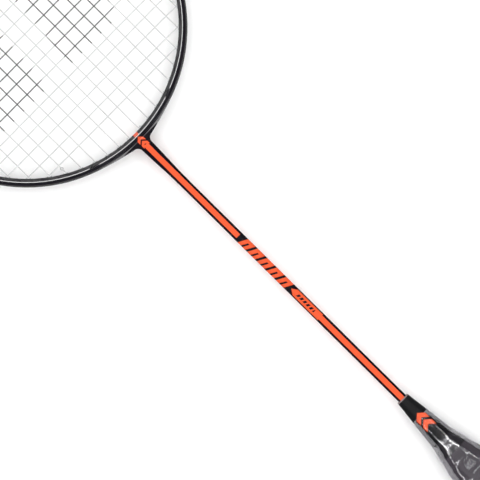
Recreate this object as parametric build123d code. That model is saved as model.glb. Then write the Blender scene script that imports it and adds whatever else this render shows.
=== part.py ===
"""A strung badminton racket: hoop, one-piece throat, slim shaft, cone, wrapped handle, grommets and strings.

The racket lies flat. Y runs from the butt end (y = 0) to the tip of the head, X runs across the string bed,
and Z is square to it. All sizes are in millimetres.
"""
from build123d import *
import math
import os

os.makedirs("parts", exist_ok=True)

# Overall
TOTAL_LENGTH = 675.0
HEAD_LENGTH = 250.0
HEAD_WIDTH = 198.0

# Hoop section: radial width, height at the crest, and the string groove round the outside
RIM_WIDTH = 5.06
RIM_HEIGHT = 10.5
INNER_FACE = 2.2
OUTER_WALL = 3.3
CREST_IN = 2.0
GROOVE_DEPTH = 2.0
GROOVE_WIDTH = 4.2

# Throat, shaft and the insert that ties them together
SHAFT_DIAMETER = 5.88
SHAFT_BORE = 4.2
STEM_LENGTH = 40.0
STEM_ROOT_DIAMETER = 7.7
FLARE_REACH = 30.0
FLARE_FILLET = 3.8
SPIGOT_IN_SHAFT = 30.0
SHAFT_IN_HANDLE = 114.0
PLUG_LENGTH = 12.0

# Handle
CONE_TOP_Y = 208.6
CONE_TOP_DIAMETER = 8.06
CONE_TAPER = 0.2367
CONE_LENGTH = 42.6
CONE_SOCKET = 9.0
CORE_WIDTH = 22.6
CORE_THICKNESS = 21.0
CORE_SHOULDER = 13.0
NOSE_DIAMETER = 12.0
GRIP_WIDTH = 25.9
GRIP_THICKNESS = 24.3
GRIP_TAPER_LENGTH = 17.0
SEAM_PITCH = 27.0
SEAM_WIDTH = 1.0
SEAM_DEPTH = 0.45
BACKING_THICKNESS = 0.2
BUTT_WIDTH = 29.6
BUTT_THICKNESS = 27.8
BUTT_PLATE = 2.5
BUTT_SKIRT = 12.0
TAPE_LENGTH = 10.0
TAPE_THICKNESS = 0.25
FILM_THICKNESS = 0.2
FILM_SLACK = 0.75
FILM_OVER_CONE = 22.0
BADGE_DIAMETER = 16.0
BADGE_THICKNESS = 0.6
RELIEF_DIAMETER = 10.0
RELIEF_DEPTH = 55.0

# Strings and grommets
STRING_DIAMETER = 0.70
MAINS_PER_SIDE = 11
MAIN_PITCH = 0.0399 * HEAD_WIDTH
MAIN_SPREAD = 0.000227 * HEAD_WIDTH
CROSSES = 24
CROSS_PITCH = 0.03456 * HEAD_LENGTH
FIRST_CROSS = 18.1
CREST = 0.53 * STRING_DIAMETER
CORNER_REACH = 0.9
SIDE_STEP = STRING_DIAMETER + 0.1
TAIL = 3.0
KNOT_DIAMETER = 2.3
HOLE_SPACING = 4.2
FIRST_EXIT_X = 6.4
BARREL_DIAMETER = 3.0
BARREL_BORE = 2.4
BARREL_PROUD = 0.6
FLANGE_DIAMETER = 4.0
FLANGE_THICKNESS = 0.4

HEAD_BOTTOM = TOTAL_LENGTH - HEAD_LENGTH
STEM_FOOT = HEAD_BOTTOM - STEM_LENGTH
MOUTH = RIM_WIDTH + 1.0
MAIN_LOOP = GROOVE_DEPTH - FLANGE_THICKNESS - STRING_DIAMETER / 2 - 0.1
CROSS_LOOP = MAIN_LOOP - STRING_DIAMETER - 0.05
UP = Vector(0, 1, 0)
OUT_OF_BED = Vector(0, 0, 1)


def save(node, shape):
    export_step(shape, f"parts/{node}.step")


def sin(turn):
    return math.sin(math.radians(turn))


def cos(turn):
    return math.cos(math.radians(turn))


def rod(start, end, diameter):
    axis = end - start
    return extrude(Plane(origin=start, z_dir=axis) * Circle(diameter / 2), axis.length)


# ---------------------------------------------------------------- outline of the head
# Five tangent arcs a side. A turn of 0 is the bottom of the hoop and 180 its tip, and the outward direction
# at a turn t is (sin t, -cos t). Turns on the left side are negative. The widest point is above the middle.

BELLY_TURN = 76.5
SHOULDER_TURN = 108.0
CROWN_TURN = 150.0
WIDEST_AT = 0.528
SHOULDER_RADIUS = 0.379


def solve(a, b, c, d, e, f):
    """x and y from a x + b y = c and d x + e y = f."""
    det = a * e - b * d
    return (c * e - b * f) / det, (a * f - c * d) / det


def head_arcs():
    """The right half of the outer edge as (centre x, centre y, radius, first turn, last turn)."""
    half = HEAD_WIDTH / 2
    low = WIDEST_AT * HEAD_LENGTH
    high = HEAD_LENGTH - low
    shoulder = SHOULDER_RADIUS * HEAD_WIDTH
    s, c = 180 - SHOULDER_TURN, 180 - CROWN_TURN
    bottom, lower_side = solve(
        1 - cos(BELLY_TURN), cos(BELLY_TURN), low,
        sin(BELLY_TURN), 1 - sin(BELLY_TURN), half,
    )
    crown, upper_side = solve(
        1 - cos(c), cos(s), high - shoulder * (cos(c) - cos(s)),
        sin(c), 1 - sin(s), half - shoulder * (sin(s) - sin(c)),
    )
    radii = [bottom, lower_side, upper_side, shoulder, crown]
    turns = [0, BELLY_TURN, 90, SHOULDER_TURN, CROWN_TURN, 180]
    x, y = 0.0, HEAD_BOTTOM + bottom
    arcs = []
    for i, radius in enumerate(radii):
        if i:
            x += (radii[i - 1] - radius) * sin(turns[i])
            y -= (radii[i - 1] - radius) * cos(turns[i])
        arcs.append((x, y, radius, turns[i], turns[i + 1]))
    return arcs


ARCS = head_arcs()
FIRST_EXIT_TURN = math.degrees(math.asin(FIRST_EXIT_X / ARCS[0][2]))


def rim(turn, inset, z=0.0):
    """The point at a signed turn, a distance in from the outer edge."""
    t = abs(turn)
    x, y, radius, _, _ = next(arc for arc in ARCS if t <= arc[4] + 1e-9)
    px = x + (radius - inset) * sin(t)
    return Vector(math.copysign(px, turn), y - (radius - inset) * cos(t), z)


def outward(turn):
    return Vector(math.copysign(sin(abs(turn)), turn), -cos(turn), 0)


def turn_where(measure, low, high, inset):
    """The turn between low and high at which a measure of the inset outline passes zero."""
    rising = measure(rim(high, inset)) > 0
    for _ in range(50):
        middle = (low + high) / 2
        if (measure(rim(middle, inset)) > 0) == rising:
            high = middle
        else:
            low = middle
    return (low + high) / 2


def arc_solid(section, arc, first, last):
    """A section (offset from the outer edge, z) carried round one arc of the outline."""
    x, y, radius, _, _ = arc
    direction = Vector(sin(first), -cos(first), 0)
    plane = Plane(
        origin=Vector(x, y, 0) + direction * radius,
        x_dir=direction,
        z_dir=direction.cross(OUT_OF_BED),
    )
    return revolve(plane * section, Axis((x, y, 0), OUT_OF_BED), last - first).solid()


def carried_round(section):
    bottom, lower, upper, shoulder, crown = ARCS
    sides = [arc_solid(section, arc, arc[3], arc[4]) for arc in (lower, upper, shoulder)]
    sides += [mirror(side, about=Plane.YZ) for side in sides]
    base = arc_solid(section, bottom, -BELLY_TURN, BELLY_TURN)
    tip = arc_solid(section, crown, CROWN_TURN, 360 - CROWN_TURN)
    return base.fuse(tip, *sides)


# ---------------------------------------------------------------- holes and the ways through them
def main_x(i):
    step = i - 0.5
    return MAIN_PITCH * step + MAIN_SPREAD * step**2


def cross_y(j):
    return HEAD_BOTTOM + RIM_WIDTH + FIRST_CROSS + CROSS_PITCH * (j - 1)


def string_holes():
    """Turns of the right side's holes, keyed by the string that uses them. Near neighbours share one."""
    ends = []
    for i in range(1, MAINS_PER_SIDE + 1):
        ends.append((turn_where(lambda p: p.X - main_x(i), 0, 90, MOUTH), ("low", i)))
        ends.append((turn_where(lambda p: p.X - main_x(i), 90, 180, MOUTH), ("high", i)))
    for j in range(1, CROSSES + 1):
        ends.append((turn_where(lambda p: p.Y - cross_y(j), 0, 180, MOUTH), ("cross", j)))
    groups = []
    for turn, key in sorted(ends):
        if groups and (rim(turn, 0) - rim(groups[-1][0][0], 0)).length < HOLE_SPACING:
            groups[-1].append((turn, key))
        else:
            groups.append([(turn, key)])
    holes = {}
    for group in groups:
        middle = sum(turn for turn, _ in group) / len(group)
        for _, key in group:
            holes[key] = middle
    return holes, [group[0][1] for group in groups]


HOLES, HOLE_KEYS = string_holes()


def exit_turn(hole, side):
    """The first main leaves the hoop at a slant, clear of the stem. Every other hole is square to the rim."""
    return side * (FIRST_EXIT_TURN if hole == ("low", 1) else HOLES[hole])


def through(hole, side, inset, z=0.0):
    """The corner outside a hole and the corner at its mouth inside the hoop."""
    return rim(exit_turn(hole, side), inset, z), rim(side * HOLES[hole], MOUTH, z)


def groove_way(start, end, inset):
    """Points that follow the groove between two holes that are not close neighbours."""
    if start * end < 0:
        return []
    steps = math.ceil(abs(end - start) / 5.0)
    return [rim(start + (end - start) * k / steps, inset) for k in range(1, steps)]


# ---------------------------------------------------------------- strings
def corners(points):
    """The points without those where the way hardly turns."""
    kept = [points[0]]
    for point, after in zip(points[1:], points[2:]):
        if (point - kept[-1]).get_angle(after - point) > 1.0:
            kept.append(point)
    return kept + [points[-1]]


def rounded(points):
    """Straight legs between points. Corners are arcs, but the slight bends at the crossings are mitres."""
    points = corners(points)
    edges = []
    start = points[0]
    for before, corner, after in zip(points, points[1:], points[2:]):
        if abs(abs(corner.Z) - CREST) < 0.001:
            edges.append(Line(start, corner))
            start = corner
            continue
        into = (corner - before).normalized()
        out = (after - corner).normalized()
        room = min(CORNER_REACH, 0.45 * (corner - before).length, 0.45 * (after - corner).length)
        first = corner - into * room
        last = corner + out * room
        rise = room * math.tan(math.radians(into.get_angle(out) / 4))
        edges.append(Line(start, first))
        edges.append(ThreePointArc(first, corner + (out - into).normalized() * rise, last))
        start = last
    edges.append(Line(start, points[-1]))
    return edges


def string_along(points):
    path = Wire(rounded(points))
    plane = Plane(origin=path @ 0, z_dir=path % 0)
    return sweep(plane * Circle(STRING_DIAMETER / 2), path=path, transition=Transition.RIGHT).solid()


def left_to_right():
    left = [(i, -1) for i in range(MAINS_PER_SIDE, 0, -1)]
    return left + [(i, 1) for i, _ in reversed(left)]


def tail(hole, side, along, inset):
    """A string's end brought in through a hole beside the string already there, up to its knot."""
    outer, mouth = through(hole, side, inset, SIDE_STEP)
    return [mouth + along * TAIL, mouth, outer]


def main_at(i, side, y):
    """Where a main stands across the head at a height: it runs straight from its low to its high mouth."""
    low = rim(side * HOLES["low", i], MOUTH)
    high = rim(side * HOLES["high", i], MOUTH)
    return low.X + (high.X - low.X) * (y - low.Y) / (high.Y - low.Y)


def crossing(number, i, side, j):
    """Where a cross rides over or under a main, as the cross's own corner, or None where they don't meet."""
    edge = rim(HOLES["cross", j], MOUTH)
    x = main_at(i, side, edge.Y)
    inside = rim(HOLES["low", i], MOUTH).Y < edge.Y < rim(HOLES["high", i], MOUTH).Y
    if inside and abs(x) < edge.X - 1.5:
        return Vector(x, edge.Y, CREST * (-1) ** (number + j))
    return None


def main_points():
    """Knot to knot: up and down the head, with a loop in the groove at each turn."""
    tie = ("low", MAINS_PER_SIDE - 1)
    end = HOLES["low", MAINS_PER_SIDE]
    points = tail(tie, -1, UP, MAIN_LOOP)
    last = -HOLES[tie]
    upward = True
    for number, (i, side) in enumerate(left_to_right()):
        first, second = ("low", "high") if upward else ("high", "low")
        met = [crossing(number, i, side, j) for j in range(1, CROSSES + 1)]
        bends = [Vector(p.X, p.Y, -p.Z) for p in met if p]
        outer, mouth = through((first, i), side, MAIN_LOOP)
        far_outer, far_mouth = through((second, i), side, MAIN_LOOP)
        points += groove_way(last, side * HOLES[first, i], MAIN_LOOP)
        points += [outer, mouth] + (bends if upward else bends[::-1]) + [far_mouth, far_outer]
        last = side * HOLES[second, i]
        upward = not upward
    points += groove_way(end, HOLES[tie], MAIN_LOOP)
    return points + tail(tie, 1, UP, MAIN_LOOP)[::-1]


def cross_points(j):
    """One cross, left to right: over and under the mains in turn, then out through the hoop."""
    met = [crossing(number, i, side, j) for number, (i, side) in enumerate(left_to_right())]
    row = [p for p in met if p]
    outer, mouth = through(("cross", j), -1, CROSS_LOOP, math.copysign(SIDE_STEP, row[0].Z))
    far_outer, far_mouth = through(("cross", j), 1, CROSS_LOOP, math.copysign(SIDE_STEP, row[-1].Z))
    return [outer, mouth] + row + [far_mouth, far_outer]


def tie_hole(j, end):
    """The first main's hole past a cross, towards that end of the hoop, where the cross is tied off."""
    lean = abs(HOLES["cross", j] - 90) + 1
    return end, max(i for i in range(1, MAINS_PER_SIDE + 1) if abs(HOLES[end, i] - 90) > lean)


def cross_string_points():
    """Knot to knot: the crosses in turn from the throat to the tip."""
    points = tail(tie_hole(1, "low"), -1, UP, CROSS_LOOP)
    last = None
    for j in range(1, CROSSES + 1):
        run = cross_points(j)
        side = -1 if j % 2 else 1
        if side > 0:
            run = run[::-1]
        if last is not None:
            points += groove_way(last, side * HOLES["cross", j], CROSS_LOOP)
        points += run
        last = -side * HOLES["cross", j]
    side = -1 if CROSSES % 2 == 0 else 1
    return points + tail(tie_hole(CROSSES, "high"), side, -UP, CROSS_LOOP)[::-1]


def knot(hole, side, along):
    """A tight knot round a main and the tail beside it."""
    _, mouth = through(hole, side, 0, SIDE_STEP / 2)
    return Location(mouth + along * (TAIL - 0.2)) * Sphere(KNOT_DIAMETER / 2)


# ---------------------------------------------------------------- grommets
def grommet(hole, side):
    """A flange on the floor of the groove, and a barrel that stands a little proud inside the hoop."""
    seat, mouth = through(hole, side, GROOVE_DEPTH)
    away = (seat - mouth).normalized()
    end = mouth + away * (MOUTH - RIM_WIDTH - BARREL_PROUD)
    flange = rod(seat, seat + outward(exit_turn(hole, side)) * FLANGE_THICKNESS, FLANGE_DIAMETER)
    barrel = rod(end, seat + away * FLANGE_THICKNESS / 2, BARREL_DIAMETER)
    bore = rod(end - away, seat + away * 3, BARREL_BORE)
    return (flange + barrel - bore).solid()


def grommets(low, high, sides):
    keys = [key for key in HOLE_KEYS if low <= HOLES[key] < high]
    return Compound([grommet(key, side) for key in keys for side in sides])


def drills():
    """A straight drilling for every hole, on both sides of the hoop."""
    rods = []
    for hole in HOLE_KEYS:
        for side in (-1, 1):
            seat, mouth = through(hole, side, GROOVE_DEPTH)
            away = (seat - mouth).normalized()
            rods.append(rod(mouth - away, seat + away * 4, BARREL_DIAMETER))
    return rods


# ---------------------------------------------------------------- hoop, throat and insert
def polygon(points):
    return make_face(Polyline(*points, close=True))


def hoop_section():
    w, h, g = RIM_WIDTH, RIM_HEIGHT / 2, GROOVE_WIDTH / 2
    upper = [
        (-w, INNER_FACE), (CREST_IN - w, h - 0.15), (CREST_IN + 0.5 - w, h), (-0.8, 0.87 * h),
        (0, OUTER_WALL), (0, g + 0.2), (-0.3, g), (-GROOVE_DEPTH, g),
    ]
    face = polygon(upper + [(p, -z) for p, z in reversed(upper)])
    return fillet([v for v in face.vertices() if v.X < -0.5 and abs(v.Y) > g + 0.05], 0.22)


def hollow_section():
    w, h = RIM_WIDTH, RIM_HEIGHT / 2
    upper = [(0.95 - w, INNER_FACE - 0.3), (1.9 - w, h - 1.35), (2.2 - w, h - 1.35)]
    return polygon(upper + [(p, -z) for p, z in reversed(upper)])


def stem():
    """The turned part of the throat, from the shaft's diameter up into the hoop."""
    root = HEAD_BOTTOM + RIM_WIDTH / 2
    thin, thick = SHAFT_DIAMETER / 2, STEM_ROOT_DIAMETER / 2
    side = Spline(
        (thin, STEM_FOOT),
        (thin + 0.28, STEM_FOOT + 0.4 * STEM_LENGTH),
        (thick - 0.17, STEM_FOOT + 0.67 * STEM_LENGTH),
        (thick + 0.05, HEAD_BOTTOM - 6),
        (thick + 0.3, root),
        tangents=[(0, 1), (0.03, 1)],
    )
    foot_line = Line((0, STEM_FOOT), (thin, STEM_FOOT))
    root_line = Line((thick + 0.3, root), (0, root))
    axis_line = Line((0, root), (0, STEM_FOOT))
    return revolve(make_face([foot_line, side, root_line, axis_line]), Axis.Y, 360).solid()


def flare():
    """The blend on either side of the stem: a long shallow arc off the hoop, then a tight fillet."""
    hoop_radius = ARCS[0][2]
    turn = math.degrees(math.asin(FLARE_REACH / hoop_radius))
    meet = rim(turn, 0)
    shallow = 2.43 * hoop_radius
    near = STEM_ROOT_DIAMETER / 2 + FLARE_FILLET
    lean = math.degrees(math.asin(sin(turn) - (meet.X - near) / shallow))

    def along_shallow(angle):
        along = shallow * (sin(turn) - sin(angle))
        across = shallow * (cos(angle) - cos(turn))
        return Vector(meet.X - along, meet.Y - across, 0)

    join = along_shallow(lean)
    waist = Vector(STEM_ROOT_DIAMETER / 2, join.Y - FLARE_FILLET, 0)
    corner = Vector(near, waist.Y, 0)
    middle = corner + Vector(-1, 1, 0).normalized() * FLARE_FILLET
    top = Vector(0, HEAD_BOTTOM + RIM_WIDTH / 2, 0)
    foot = Vector(0, waist.Y, 0)
    half = make_face([
        Line(top, foot),
        Line(foot, waist),
        ThreePointArc(waist, middle, join),
        ThreePointArc(join, along_shallow((turn + lean) / 2), meet),
        Line(meet, top),
    ])
    block = extrude(half, OUTER_WALL + 0.4, both=True)
    return block + mirror(block, about=Plane.YZ)


def hoop():
    post = stem()
    slot = Rectangle(GROOVE_DEPTH + 12, GROOVE_WIDTH, align=(Align.MIN, Align.CENTER))
    channel = arc_solid(Pos(-GROOVE_DEPTH, 0) * slot, ARCS[0], -24, 24)
    frame = carried_round(hoop_section() - hollow_section()) + (flare() - (channel - post)) + post
    frame -= rod(Vector(0, STEM_FOOT - 1, 0), Vector(0, HEAD_BOTTOM + 3, 0), SHAFT_BORE)
    return frame.cut(*drills()).solid()


def t_joint():
    """The insert inside the throat: a curved limb in the hoop's hollow and a spigot down into the shaft."""
    limb = arc_solid(hollow_section(), ARCS[0], -14, 14)
    foot = Vector(0, STEM_FOOT - SPIGOT_IN_SHAFT, 0)
    spigot = rod(foot, Vector(0, HEAD_BOTTOM + RIM_WIDTH - 1.9, 0), SHAFT_BORE)
    return (limb + spigot).cut(*drills()).solid()


# ---------------------------------------------------------------- shaft and handle
CONE_FOOT_Y = CONE_TOP_Y - CONE_LENGTH
SHOULDER_Y = CONE_FOOT_Y - CORE_SHOULDER
NOSE_Y = CONE_FOOT_Y + CONE_SOCKET
SHAFT_END_Y = CONE_TOP_Y - SHAFT_IN_HANDLE
GRIP_TOP_Y = CONE_FOOT_Y + 6.5
TAPE_TOP_Y = GRIP_TOP_Y + 3.5
GRIP_FULL_Y = GRIP_TOP_Y - GRIP_TAPER_LENGTH
FLARE_TOP_Y = BUTT_PLATE + BUTT_SKIRT + 6.0


def cone_diameter(y):
    return CONE_TOP_DIAMETER + CONE_TAPER * (CONE_TOP_Y - y)


GRIP_TOP_DIAMETER = cone_diameter(GRIP_TOP_Y) + 0.6


def octagon(y, width, thickness, corner):
    """A soft-cornered octagon across the handle at a height."""
    a, b = width / 2, thickness / 2
    points = [(0.42 * a, b), (a, 0.45 * b), (a, -0.45 * b), (0.42 * a, -b)]
    face = polygon(points + [(-x, z) for x, z in reversed(points)])
    if corner:
        face = fillet(face.vertices(), corner)
    return Plane(origin=(0, y, 0), x_dir=(1, 0, 0), z_dir=(0, 1, 0)) * face


def disc(y, diameter):
    return Plane(origin=(0, y, 0), x_dir=(1, 0, 0), z_dir=(0, 1, 0)) * Circle(diameter / 2)


def turned(points):
    """A body of revolution about Y from (radius, y) points."""
    outline = Polyline((0, points[0][1]), *points, (0, points[-1][1]), close=True)
    return revolve(make_face(outline), Axis.Y, 360)


def prism(low, high, width, thickness, corner):
    return extrude(octagon(low, width, thickness, corner), high - low)


def core_body():
    """The wooden core before it is bored: an octagon, a shoulder that runs down to the cone, and a nose."""
    grip = prism(BUTT_PLATE, SHOULDER_Y, CORE_WIDTH, CORE_THICKNESS, 0.8)
    shoulder_ends = [
        octagon(SHOULDER_Y, CORE_WIDTH, CORE_THICKNESS, 0.8),
        disc(CONE_FOOT_Y, cone_diameter(CONE_FOOT_Y)),
    ]
    shoulder = loft(shoulder_ends)
    nose = rod(Vector(0, CONE_FOOT_Y, 0), Vector(0, NOSE_Y, 0), NOSE_DIAMETER)
    return grip + shoulder + nose


def cone_cap(shaft_bar):
    foot = cone_diameter(CONE_FOOT_Y) / 2
    body = turned([(foot, CONE_FOOT_Y), (CONE_TOP_DIAMETER / 2, CONE_TOP_Y)])
    socket = rod(Vector(0, CONE_FOOT_Y - 1, 0), Vector(0, NOSE_Y, 0), NOSE_DIAMETER)
    return body - socket - shaft_bar


def skirt_body():
    low = octagon(BUTT_PLATE, BUTT_WIDTH - 2.6, BUTT_THICKNESS - 2.6, 1.5)
    high = octagon(BUTT_PLATE + BUTT_SKIRT, CORE_WIDTH + 1.0, CORE_THICKNESS + 1.0, 1.0)
    return loft([low, high])


def butt_cap(core):
    plate = prism(0, BUTT_PLATE, BUTT_WIDTH, BUTT_THICKNESS, 2.5)
    plate = chamfer(plate.faces().sort_by(Axis.Y)[0].edges(), 0.8)
    plug = rod(Vector(0, BUTT_PLATE, 0), Vector(0, BUTT_PLATE + 8, 0), RELIEF_DIAMETER)
    recess = rod(Vector(0, -1, 0), Vector(0, BADGE_THICKNESS, 0), BADGE_DIAMETER)
    return plate + (skirt_body() - core) + plug - recess


def seam_cutters(low, high):
    """Slanting cuts for the edge of the wound strip: half a turn across the front, half across the back."""
    rise = SEAM_PITCH / 2
    span = GRIP_WIDTH + 8
    slant = math.degrees(math.atan2(rise, GRIP_WIDTH))
    cutters = []
    y = low
    while y < high:
        for front, start in ((1, y), (-1, y + rise)):
            slab = Box(span, SEAM_WIDTH, BUTT_THICKNESS)
            centre = Vector(0, start + rise / 2, front * BUTT_THICKNESS / 2)
            cutters.append(Location(centre) * Rot(0, 0, front * slant) * slab)
        y += SEAM_PITCH
    return cutters


def grip_body(extra):
    """The outside of the wound strip, grown by extra all round."""
    w, t = GRIP_WIDTH + 2 * extra, GRIP_THICKNESS + 2 * extra
    butt = loft([
        octagon(BUTT_PLATE, BUTT_WIDTH + 2 * extra, BUTT_THICKNESS + 2 * extra, 3),
        octagon(FLARE_TOP_Y, w, t, 3),
    ])
    straight = prism(FLARE_TOP_Y, GRIP_FULL_Y, w, t, 3)
    taper = loft([octagon(GRIP_FULL_Y, w, t, 3), disc(GRIP_TOP_Y, GRIP_TOP_DIAMETER + 2 * extra)])
    return butt + straight + taper


def finishing_tape(wrap):
    """A band stuck half on the end of the wound strip and half on the cone."""
    low = GRIP_TOP_Y + 3.5 - TAPE_LENGTH
    band = rod(Vector(0, low, 0), Vector(0, TAPE_TOP_Y, 0), BUTT_WIDTH)
    on_strip = grip_body(TAPE_THICKNESS) & band
    step = GRIP_TOP_Y + 0.8
    on_cone = turned([
        (GRIP_TOP_DIAMETER / 2 + TAPE_THICKNESS, GRIP_TOP_Y),
        (cone_diameter(step) / 2 + TAPE_THICKNESS, step),
        (cone_diameter(TAPE_TOP_Y) / 2 + TAPE_THICKNESS, TAPE_TOP_Y),
    ])
    inside = turned([(cone_diameter(CONE_FOOT_Y) / 2, CONE_FOOT_Y), (CONE_TOP_DIAMETER / 2, CONE_TOP_Y)])
    middle = prism(BUTT_PLATE, CONE_FOOT_Y + 0.01, CORE_WIDTH - 6, CORE_THICKNESS - 6, 0)
    return on_strip + on_cone - wrap - inside - middle


def film_skin(extra):
    """The outside of the clear sleeve less a wall: along the grip, in to the tape, loosely up the cone."""
    top = GRIP_TOP_Y + FILM_OVER_CONE
    along = prism(FLARE_TOP_Y, GRIP_FULL_Y, GRIP_WIDTH + 2 * extra, GRIP_THICKNESS + 2 * extra, 3)
    low = cone_diameter(GRIP_TOP_Y) + 2 * FILM_SLACK + 2 * extra
    high = cone_diameter(top) + 1.2 * FILM_SLACK + 2 * extra
    shrunk = loft([
        octagon(GRIP_FULL_Y, GRIP_WIDTH + 2 * extra, GRIP_THICKNESS + 2 * extra, 3),
        disc(GRIP_TOP_Y, low),
    ])
    return along + shrunk + turned([(low / 2, GRIP_TOP_Y), (high / 2, top)])


# ---------------------------------------------------------------- the pieces
save("frame_hoop", hoop())
save("t_joint", t_joint())

shaft_bar = rod(Vector(0, SHAFT_END_Y, 0), Vector(0, STEM_FOOT, 0), SHAFT_DIAMETER)
shaft_hollow = rod(Vector(0, SHAFT_END_Y, 0), Vector(0, STEM_FOOT, 0), SHAFT_BORE)
save("shaft", shaft_bar - shaft_hollow)
save("shaft_plug", rod(Vector(0, SHAFT_END_Y, 0), Vector(0, SHAFT_END_Y + PLUG_LENGTH, 0), SHAFT_BORE))

cone = cone_cap(shaft_bar)
save("cone_cap", cone)

core = core_body()
relief = rod(Vector(0, BUTT_PLATE, 0), Vector(0, BUTT_PLATE + RELIEF_DEPTH, 0), RELIEF_DIAMETER)
save("handle_core", core - shaft_bar - relief)

cap = butt_cap(core)
save("butt_cap", cap)
save("butt_badge", rod(Vector(0, 0.1, 0), Vector(0, BADGE_THICKNESS, 0), BADGE_DIAMETER))

BACKED_WIDTH = CORE_WIDTH + 2 * BACKING_THICKNESS
BACKED_THICKNESS = CORE_THICKNESS + 2 * BACKING_THICKNESS
backing = prism(BUTT_PLATE + BUTT_SKIRT, SHOULDER_Y, BACKED_WIDTH, BACKED_THICKNESS, 0.8) - core
save("grip_backing_tape", backing)

under_wrap = [core, skirt_body(), backing, cone]
seams = [cutter - grip_body(-SEAM_DEPTH) for cutter in seam_cutters(FLARE_TOP_Y, GRIP_FULL_Y - SEAM_PITCH)]
wrap = grip_body(0).cut(*under_wrap).cut(*seams)
save("grip_wrap", wrap)
save("finishing_tape", finishing_tape(wrap))
save("film_sleeve", film_skin(FILM_THICKNESS) - film_skin(0))

strings = [string_along(main_points()), string_along(cross_string_points())]
save("string_mains", strings[0])
save("string_crosses", strings[1])
mains_tie = ("low", MAINS_PER_SIDE - 1)
last_side = -1 if CROSSES % 2 == 0 else 1
knots = [
    knot(mains_tie, -1, UP),
    knot(mains_tie, 1, UP),
    knot(tie_hole(1, "low"), -1, UP),
    knot(tie_hole(CROSSES, "high"), last_side, -UP),
]
save("string_knots", Compound([ball.cut(*strings).solid() for ball in knots]))

save("grommets_throat", grommets(0, 34, (-1, 1)))
save("grommets_left", grommets(34, 145, (-1,)))
save("grommets_right", grommets(34, 145, (1,)))
save("grommets_tip", grommets(145, 180, (-1, 1)))
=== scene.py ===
"""Looks of the strung badminton racket: finishes, print, creased film, floor, light and camera."""

import math

import bpy
from mathutils import Matrix, Vector


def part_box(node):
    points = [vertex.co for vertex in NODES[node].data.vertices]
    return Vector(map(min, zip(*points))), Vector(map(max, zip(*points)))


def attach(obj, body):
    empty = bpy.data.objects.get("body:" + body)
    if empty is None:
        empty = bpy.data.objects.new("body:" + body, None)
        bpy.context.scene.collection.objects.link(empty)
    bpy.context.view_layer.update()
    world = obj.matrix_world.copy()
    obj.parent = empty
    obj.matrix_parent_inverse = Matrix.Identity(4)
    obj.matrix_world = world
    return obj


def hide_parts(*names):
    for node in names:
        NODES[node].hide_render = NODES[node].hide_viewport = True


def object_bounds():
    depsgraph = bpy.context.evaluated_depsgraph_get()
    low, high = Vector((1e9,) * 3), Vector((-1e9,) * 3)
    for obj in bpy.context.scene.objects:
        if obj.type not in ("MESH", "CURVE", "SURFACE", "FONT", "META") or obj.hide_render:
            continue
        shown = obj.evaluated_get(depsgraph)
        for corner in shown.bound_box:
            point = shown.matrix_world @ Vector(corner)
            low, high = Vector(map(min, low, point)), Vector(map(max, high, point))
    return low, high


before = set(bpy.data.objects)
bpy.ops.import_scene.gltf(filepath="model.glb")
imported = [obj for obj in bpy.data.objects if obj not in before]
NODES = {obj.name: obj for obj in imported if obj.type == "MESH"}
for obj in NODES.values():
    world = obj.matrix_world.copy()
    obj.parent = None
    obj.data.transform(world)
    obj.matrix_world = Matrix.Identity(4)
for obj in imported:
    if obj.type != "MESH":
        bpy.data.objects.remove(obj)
CAD_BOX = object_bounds()

MM = 0.001
HEAD_LENGTH = 250 * MM
HEAD_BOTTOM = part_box("frame_hoop")[1][1] - HEAD_LENGTH
CONE_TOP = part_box("cone_cap")[1][1]
FILM_LOW, FILM_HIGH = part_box("film_sleeve")

# Print: places are distances from the butt end, except the band's, which are from the foot of the hoop
HOOP_BAND = (3 * MM, 6 * MM)
HOOP_BAND_HALF = 1.55 * MM
STRIPE_HALF = 1.6 * MM
THROAT_MARK = (420.6 * MM, 427.4 * MM)
UPPER_STRIPE = (344.4 * MM, 420.9 * MM)
BLOCKS = (302.7 * MM, 342.0 * MM)
BLOCK_PITCH = 7.9 * MM
BLOCK_SHARE = 0.8
BLOCK_SLIT = (0.3, 0.46)
BLOCK_SLANT = 0.55
ARROW = (276.5 * MM, 300.7 * MM)
ARROW_HALF = 2.25 * MM
ARROW_POINT = 1.5
DASH_HALF = 0.9 * MM
DASH_MARGIN = 5 * MM
TICK_PITCH = 2.6 * MM
TICK_SHARE = 0.6
CONE_MARK = (186.4 * MM, 197.2 * MM)
THROAT_MARK_HALF = 2.3 * MM
CONE_MARK_HALF = 3.6 * MM
CHEVRON_SLOPE = 0.9
CHEVRON_SHARE = 0.66
CONE_RIM = 0.7 * MM

# Dark bars stencilled on the strings
BAR_FOOT = 485.5 * MM
BAR_TOP = 592 * MM
LEFT_BAR = (-62 * MM, -16.5 * MM)
RIGHT_BAR = (2.5 * MM, 44 * MM)
BAR_SLANT = 0.07
STRING_TWIST = 9000

# The film's outline up the handle in mm: height, half width, half thickness, and how round it is there
FILM_OUTLINE = (
    (0.0, 13.1, 12.3, 0.0), (150.0, 13.1, 12.3, 0.0), (155.5, 12.7, 12.0, 0.1), (164.0, 11.0, 10.9, 0.6),
    (170.0, 9.9, 9.9, 1.0), (176.0, 7.9, 7.9, 1.0), (194.5, 6.0, 6.0, 1.0),
)
FILM_ROWS = 170
FILM_AROUND = 96
FILM_WALL = 0.08 * MM
FILM_CORNER = 0.62
SHOULDER = 156 * MM

# Studio: distances in metres, light powers in watts
FLOOR_SIZE = 8
FLOOR_GAP = 0.0002
LOOK_AT = Vector((-0.0009, 0.3421, 0))
CAMERA_HEIGHT = 1.6
VIEW_WIDTH = 0.2824
SENSOR = 36.0
CAMERA_ROLL = math.radians(44.7)
FAR = 6
RING_LEAN = math.radians(33.4)
RING_LIGHTS = 12
SIDE_LIGHTS = 4

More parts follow.
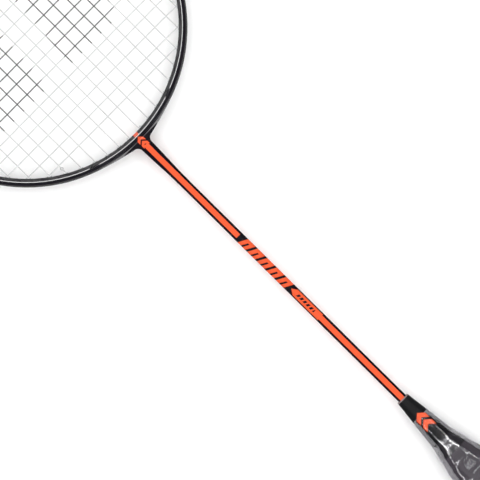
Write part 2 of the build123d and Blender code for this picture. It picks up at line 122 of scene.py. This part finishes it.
ORANGE = (0.82, 0.105, 0.036, 1)
BLACK = (0.005, 0.0038, 0.007, 1)


class Shade:
    """A material's nodes, with sums written as calls."""

    def __init__(self, name):
        self.material = bpy.data.materials.new(name)
        self.material.use_nodes = True
        self.tree = self.material.node_tree
        self.shader = self.tree.nodes["Principled BSDF"]
        place = self.tree.nodes.new("ShaderNodeTexCoord").outputs["Object"]
        split = self.tree.nodes.new("ShaderNodeSeparateXYZ")
        self.tree.links.new(place, split.inputs[0])
        self.place = place
        self.x, self.y, self.z = split.outputs

    def feed(self, value, socket):
        """Links a node's output to a socket, or sets the socket to a plain value."""
        if isinstance(value, bpy.types.NodeSocket):
            self.tree.links.new(value, socket)
        else:
            socket.default_value = value

    def math(self, kind, a, b=0.0):
        node = self.tree.nodes.new("ShaderNodeMath")
        node.operation = kind
        self.feed(a, node.inputs[0])
        self.feed(b, node.inputs[1])
        return node.outputs[0]

    def below(self, a, b):
        return self.math("LESS_THAN", a, b)

    def above(self, a, b):
        return self.math("GREATER_THAN", a, b)

    def within(self, value, limits):
        return self.both(self.above(value, limits[0]), self.below(value, limits[1]))

    def both(self, a, b):
        return self.math("MULTIPLY", a, b)

    def either(self, a, b):
        return self.math("MAXIMUM", a, b)

    def outside(self, a):
        return self.math("SUBTRACT", 1.0, a)

    def noise(self, scale, detail=3.0):
        node = self.tree.nodes.new("ShaderNodeTexNoise")
        node.inputs["Scale"].default_value = scale
        node.inputs["Detail"].default_value = detail
        self.tree.links.new(self.place, node.inputs["Vector"])
        return node.outputs["Fac"]

    def mix(self, share, a, b):
        node = self.tree.nodes.new("ShaderNodeMix")
        node.data_type = "RGBA"
        self.feed(share, node.inputs["Factor"])
        self.feed(a, node.inputs["A"])
        self.feed(b, node.inputs["B"])
        return node.outputs["Result"]

    def mottled(self, colour, amount, scale):
        """A colour that wanders a little from place to place."""
        dark = tuple(c * (1 - amount) for c in colour[:3]) + (1,)
        light = tuple(min(1, c * (1 + amount)) for c in colour[:3]) + (1,)
        return self.mix(self.noise(scale), dark, light)

    def bump(self, height, strength, distance):
        node = self.tree.nodes.new("ShaderNodeBump")
        node.inputs["Strength"].default_value = strength
        node.inputs["Distance"].default_value = distance
        self.feed(height, node.inputs["Height"])
        self.tree.links.new(node.outputs["Normal"], self.shader.inputs["Normal"])

    def finish(self, colour, roughness, specular=0.5, coat=0.0):
        self.feed(colour, self.shader.inputs["Base Color"])
        self.shader.inputs["Roughness"].default_value = roughness
        self.shader.inputs["Specular IOR Level"].default_value = specular
        self.feed(coat, self.shader.inputs["Coat Weight"])
        return self.material


def print_mask(s):
    """Where the shaft and throat carry orange print: two stripes, slanting blocks and an arrow."""
    wide = s.math("ABSOLUTE", s.x)
    stripe = s.below(wide, STRIPE_HALF)
    upper = s.both(stripe, s.within(s.y, UPPER_STRIPE))
    lower = s.both(stripe, s.within(s.y, (CONE_TOP, ARROW[0])))

    slant = s.math("ADD", s.y, s.math("MULTIPLY", s.x, BLOCK_SLANT))
    phase = s.math("FRACT", s.math("DIVIDE", s.math("SUBTRACT", slant, BLOCKS[0]), BLOCK_PITCH))
    block = s.both(s.below(phase, BLOCK_SHARE), s.within(slant, BLOCKS))
    slit = s.both(s.within(phase, BLOCK_SLIT), s.below(s.x, 1.0 * MM))
    blocks = s.both(block, s.outside(slit))

    point = s.math("SUBTRACT", ARROW[1], s.math("MULTIPLY", wide, ARROW_POINT))
    arrow = s.both(s.above(s.y, ARROW[0]), s.below(s.y, point))
    arrow = s.both(arrow, s.below(wide, ARROW_HALF))
    dash = s.within(s.y, (ARROW[0] + DASH_MARGIN, ARROW[1] - DASH_MARGIN))
    dash = s.both(s.below(wide, DASH_HALF), dash)
    ticks = s.below(s.math("FRACT", s.math("DIVIDE", slant, TICK_PITCH)), TICK_SHARE)
    arrow = s.both(arrow, s.outside(s.both(dash, ticks)))
    return s.either(s.either(upper, lower), s.either(blocks, arrow))


def chevrons(s, limits, half):
    """Two plain chevrons, one over the other, on the upper side."""
    wide = s.math("ABSOLUTE", s.x)
    height = s.math("ADD", s.y, s.math("MULTIPLY", wide, CHEVRON_SLOPE))
    step = (limits[1] - limits[0]) * 0.5
    low = limits[0] + CHEVRON_SLOPE * half * 0.5
    lower = s.within(height, (low, low + step * CHEVRON_SHARE))
    upper = s.within(height, (low + step, low + step * (1 + CHEVRON_SHARE)))
    return s.both(s.either(lower, upper), s.both(s.below(wide, half), s.above(s.z, 0)))


def lacquer(name):
    """Near-black with a purple cast and orange print: glossy round the hoop, satin on the throat and shaft."""
    s = Shade(name)
    body = s.mottled(BLACK, 0.25, 60)
    orange = s.mottled(ORANGE, 0.04, 200)
    near = s.below(s.math("ABSOLUTE", s.x), HOOP_BAND_HALF)
    band = s.both(near, s.within(s.y, tuple(HEAD_BOTTOM + edge for edge in HOOP_BAND)))
    mask = s.either(s.either(print_mask(s), band), chevrons(s, THROAT_MARK, THROAT_MARK_HALF))
    s.bump(s.noise(900, 2), 0.04, 0.0001)
    coat = s.both(s.above(s.y, HEAD_BOTTOM + 0.2 * MM), 0.7)
    return s.finish(s.mix(mask, body, orange), 0.5, 0.02, coat)


def cone_plastic():
    """Smooth black moulding with a plain double chevron and a pale rim."""
    s = Shade("cone_plastic")
    mark = chevrons(s, CONE_MARK, CONE_MARK_HALF)
    rim = s.above(s.y, CONE_TOP - CONE_RIM)
    body = s.mottled((0.006, 0.006, 0.007, 1), 0.3, 120)
    body = s.mix(rim, body, (0.25, 0.2, 0.2, 1))
    s.bump(s.noise(1500, 2), 0.06, 0.0001)
    return s.finish(s.mix(mark, body, s.mottled(ORANGE, 0.04, 200)), 0.55, 0.04)


def string_nylon():
    """Pale twisted nylon, with two plain dark bars stencilled across the bed."""
    s = Shade("string_nylon")
    x = s.math("SUBTRACT", s.x, s.math("MULTIPLY", s.math("SUBTRACT", s.y, BAR_FOOT), BAR_SLANT))
    bars = s.either(s.within(x, LEFT_BAR), s.within(x, RIGHT_BAR))
    inked = s.both(bars, s.within(s.y, (BAR_FOOT, BAR_TOP)))
    pale = s.mottled((0.55, 0.55, 0.55, 1), 0.06, 700)
    dark = s.mottled((0.006, 0.006, 0.006, 1), 0.3, 700)
    along = s.math("ADD", s.math("ADD", s.x, s.y), s.z)
    twist = s.math("SINE", s.math("MULTIPLY", along, STRING_TWIST))
    s.bump(twist, 0.12, 0.00005)
    return s.finish(s.mix(inked, pale, dark), 0.42)


def moulding(name, colour, roughness, grain):
    """A plain piece with a fine grain."""
    s = Shade(name)
    s.bump(s.noise(grain, 4), 0.15, 0.0001)
    return s.finish(s.mottled(colour, 0.2, 150), roughness)


def grip_leather():
    """Grey-purple strip with fine pores."""
    s = Shade("grip_leather")
    s.bump(s.noise(1600, 4), 0.3, 0.0002)
    return s.finish(s.mottled((0.034, 0.027, 0.037, 1), 0.22, 110), 0.7, 0.2)


def wood():
    """Bare wood with its grain along the handle."""
    s = Shade("bare_wood")
    stretched = s.tree.nodes.new("ShaderNodeMapping")
    stretched.inputs["Scale"].default_value = (1, 0.06, 1)
    s.tree.links.new(s.place, stretched.inputs["Vector"])
    s.place = stretched.outputs[0]
    return s.finish(s.mottled((0.52, 0.35, 0.19, 1), 0.3, 400), 0.6)


def film_clear():
    """Thin clear film: see-through, with a faint shine that grows towards its edges."""
    s = Shade("film_clear")
    nodes, links = s.tree.nodes, s.tree.links
    ripple = nodes.new("ShaderNodeBump")
    ripple.inputs["Strength"].default_value = 0.4
    ripple.inputs["Distance"].default_value = 0.0008
    links.new(s.noise(160), ripple.inputs["Height"])

    shine = nodes.new("ShaderNodeBsdfAnisotropic")
    shine.inputs["Roughness"].default_value = 0.12
    links.new(s.mottled((0.9, 0.89, 0.93, 1), 0.08, 90), shine.inputs["Color"])
    links.new(ripple.outputs["Normal"], shine.inputs["Normal"])

    edge = nodes.new("ShaderNodeFresnel")
    edge.inputs["IOR"].default_value = 1.5
    links.new(ripple.outputs["Normal"], edge.inputs["Normal"])

    clear = nodes.new("ShaderNodeBsdfTransparent")
    blend = nodes.new("ShaderNodeMixShader")
    links.new(s.math("MULTIPLY", edge.outputs[0], 0.22), blend.inputs[0])
    links.new(clear.outputs[0], blend.inputs[1])
    links.new(shine.outputs[0], blend.inputs[2])
    links.new(blend.outputs[0], nodes["Material Output"].inputs["Surface"])
    nodes.remove(s.shader)
    return s.material


def paint(material, *names):
    """Gives CAD nodes a finish."""
    for name in names:
        node = NODES[name]
        node.data.materials.clear()
        node.data.materials.append(material)


paint(lacquer("frame_lacquer"), "frame_hoop")
paint(lacquer("shaft_lacquer"), "shaft")
paint(cone_plastic(), "cone_cap")
paint(string_nylon(), "string_mains", "string_crosses", "string_knots")
GROMMETS = [f"grommets_{side}" for side in ("throat", "left", "right", "tip")]
paint(moulding("grommet_nylon", (0.55, 0.55, 0.56, 1), 0.4, 900), *GROMMETS)
paint(moulding("insert_moulding", (0.03, 0.03, 0.03, 1), 0.6, 600), "t_joint")
paint(moulding("plug_foam", (0.6, 0.55, 0.4, 1), 0.9, 800), "shaft_plug")
paint(wood(), "handle_core")
paint(moulding("cap_moulding", (0.012, 0.012, 0.013, 1), 0.5, 1200), "butt_cap")
paint(moulding("badge_print", ORANGE, 0.3, 300), "butt_badge")
paint(moulding("backing_weave", (0.6, 0.58, 0.5, 1), 0.8, 1500), "grip_backing_tape")
paint(grip_leather(), "grip_wrap")
paint(moulding("band_tape", (0.02, 0.018, 0.022, 1), 0.22, 500), "finishing_tape")


def film_width(y):
    """Half width across, half thickness, and how round the film is at a height."""
    for low, high in zip(FILM_OUTLINE, FILM_OUTLINE[1:]):
        if y <= high[0] * MM or high is FILM_OUTLINE[-1]:
            t = min(1, (y / MM - low[0]) / (high[0] - low[0]))
            a, b, roundness = (p + (q - p) * t for p, q in zip(low[1:], high[1:]))
            return a * MM, b * MM, roundness


def crease(angle, y):
    """How far the film stands off at a place: slanting gathers, strongest by the shoulder of the grip."""
    near = math.exp(-(((y - SHOULDER) / (16 * MM)) ** 2))
    slanting = math.sin(2 * math.pi * (y / (9.5 * MM)) + 1.7 * math.sin(angle) + angle)
    long_fold = math.sin(3 * angle + y / (11 * MM)) * math.sin(5 * angle - y / (17 * MM))
    return (0.3 + 0.45 * near * max(0, slanting) + 0.2 * long_fold) * MM


def film_ring(y):
    """The points of the film round the handle at a height: squarish along the grip, round up the cone."""
    half_width, half_thickness, roundness = film_width(y)
    power = FILM_CORNER + (1 - FILM_CORNER) * roundness
    points = []
    for k in range(FILM_AROUND):
        angle = 2 * math.pi * k / FILM_AROUND
        off = crease(angle, y)
        across, up = math.cos(angle), math.sin(angle)
        x = math.copysign(abs(across) ** power, across) * (half_width + off)
        z = math.copysign(abs(up) ** power, up) * (half_thickness + off)
        points.append((x, y, z))
    return points


def creased_film():
    """The clear sleeve as one sheet with gathers, in place of the plain CAD sleeve."""
    low, high = FILM_LOW[1], FILM_HIGH[1]
    points, faces = [], []
    for row in range(FILM_ROWS + 1):
        points += film_ring(low + (high - low) * row / FILM_ROWS)
    for row in range(FILM_ROWS):
        here, above = row * FILM_AROUND, (row + 1) * FILM_AROUND
        for k in range(FILM_AROUND):
            n = (k + 1) % FILM_AROUND
            faces.append((here + k, above + k, above + n, here + n))
    mesh = bpy.data.meshes.new("creased_film")
    mesh.from_pydata(points, [], faces)
    mesh.shade_smooth()
    mesh.materials.append(film_clear())
    film = bpy.data.objects.new("creased_film", mesh)
    bpy.context.collection.objects.link(film)
    film.modifiers.new("wall", "SOLIDIFY").thickness = FILM_WALL
    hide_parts("film_sleeve")
    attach(film, "root")


def floor():
    """A pale plain floor just under the racket."""
    height = CAD_BOX[0][2] - FLOOR_GAP
    bpy.ops.mesh.primitive_plane_add(size=FLOOR_SIZE, location=(0, 0.34, height))
    plane = bpy.context.object
    plane.name = "floor"
    s = Shade("floor_paper")
    plane.data.materials.append(s.finish(s.mottled((0.93, 0.93, 0.93, 1), 0.01, 3), 0.9))


def area_light(name, offset, size, power):
    """A rectangular light at an offset from the point the camera looks at, turned to face it."""
    data = bpy.data.lights.new(name, "AREA")
    data.shape = "RECTANGLE"
    data.size, data.size_y = size
    data.energy = power
    lamp = bpy.data.objects.new(name, data)
    lamp.location = LOOK_AT + offset
    lamp.rotation_euler = (LOOK_AT - lamp.location).to_track_quat("-Z", "Y").to_euler()
    bpy.context.collection.objects.link(lamp)
    return lamp


def gloss_lights():
    """A ring that shows as a line along the narrow facet by the hoop's crest, and a glint from above.
    Only gloss sees them."""
    lights = []
    for k in range(RING_LIGHTS):
        turn = 2 * math.pi * k / RING_LIGHTS
        lean = math.sin(RING_LEAN)
        way = Vector((lean * math.cos(turn), lean * math.sin(turn), math.cos(RING_LEAN)))
        lights.append(area_light(f"ring_{k}", way * FAR, (1.7, 0.94), 150))
    lights.append(area_light("glint", Vector((0, 0, FAR)), (1.1, 1.1), 30))
    for light in lights:
        light.visible_diffuse = False


def soft_lights():
    """Soft light from all sides and a wide wash from above that throws no shadow; gloss does not see them."""
    lights = []
    for k in range(SIDE_LIGHTS):
        turn = 2 * math.pi * (k + 0.5) / SIDE_LIGHTS
        offset = Vector((3 * math.cos(turn), 3 * math.sin(turn), 1.9))
        lights.append(area_light(f"side_{k}", offset, (3.2, 1.2), 17))
    wash = area_light("wash", Vector((0, 0, 4)), (4, 4), 205)
    wash.data.use_shadow = False
    wash.data.cycles.cast_shadow = False
    lights.append(wash)
    for light in lights:
        light.visible_glossy = False


def dim_world():
    world = bpy.data.worlds.new("studio")
    bpy.context.scene.world = world
    world.use_nodes = True
    background = world.node_tree.nodes["Background"]
    background.inputs["Color"].default_value = (1, 1, 1, 1)
    background.inputs["Strength"].default_value = 0.04


def camera():
    """Straight above, rolled so that the head points up and to the left."""
    data = bpy.data.cameras.new("camera")
    data.sensor_width = SENSOR
    data.lens = SENSOR * CAMERA_HEIGHT / VIEW_WIDTH
    data.clip_end = 20
    eye = bpy.data.objects.new("camera", data)
    bpy.context.collection.objects.link(eye)
    right = Vector((math.sin(CAMERA_ROLL), -math.cos(CAMERA_ROLL), 0))
    up = Vector((math.cos(CAMERA_ROLL), math.sin(CAMERA_ROLL), 0))
    turn = Matrix((right, up, (0, 0, 1))).transposed().to_4x4()
    eye.matrix_world = Matrix.Translation(LOOK_AT + Vector((0, 0, CAMERA_HEIGHT))) @ turn
    bpy.context.scene.camera = eye


creased_film()
floor()
gloss_lights()
soft_lights()
dim_world()
camera()
bpy.context.scene.view_settings.view_transform = "Standard"
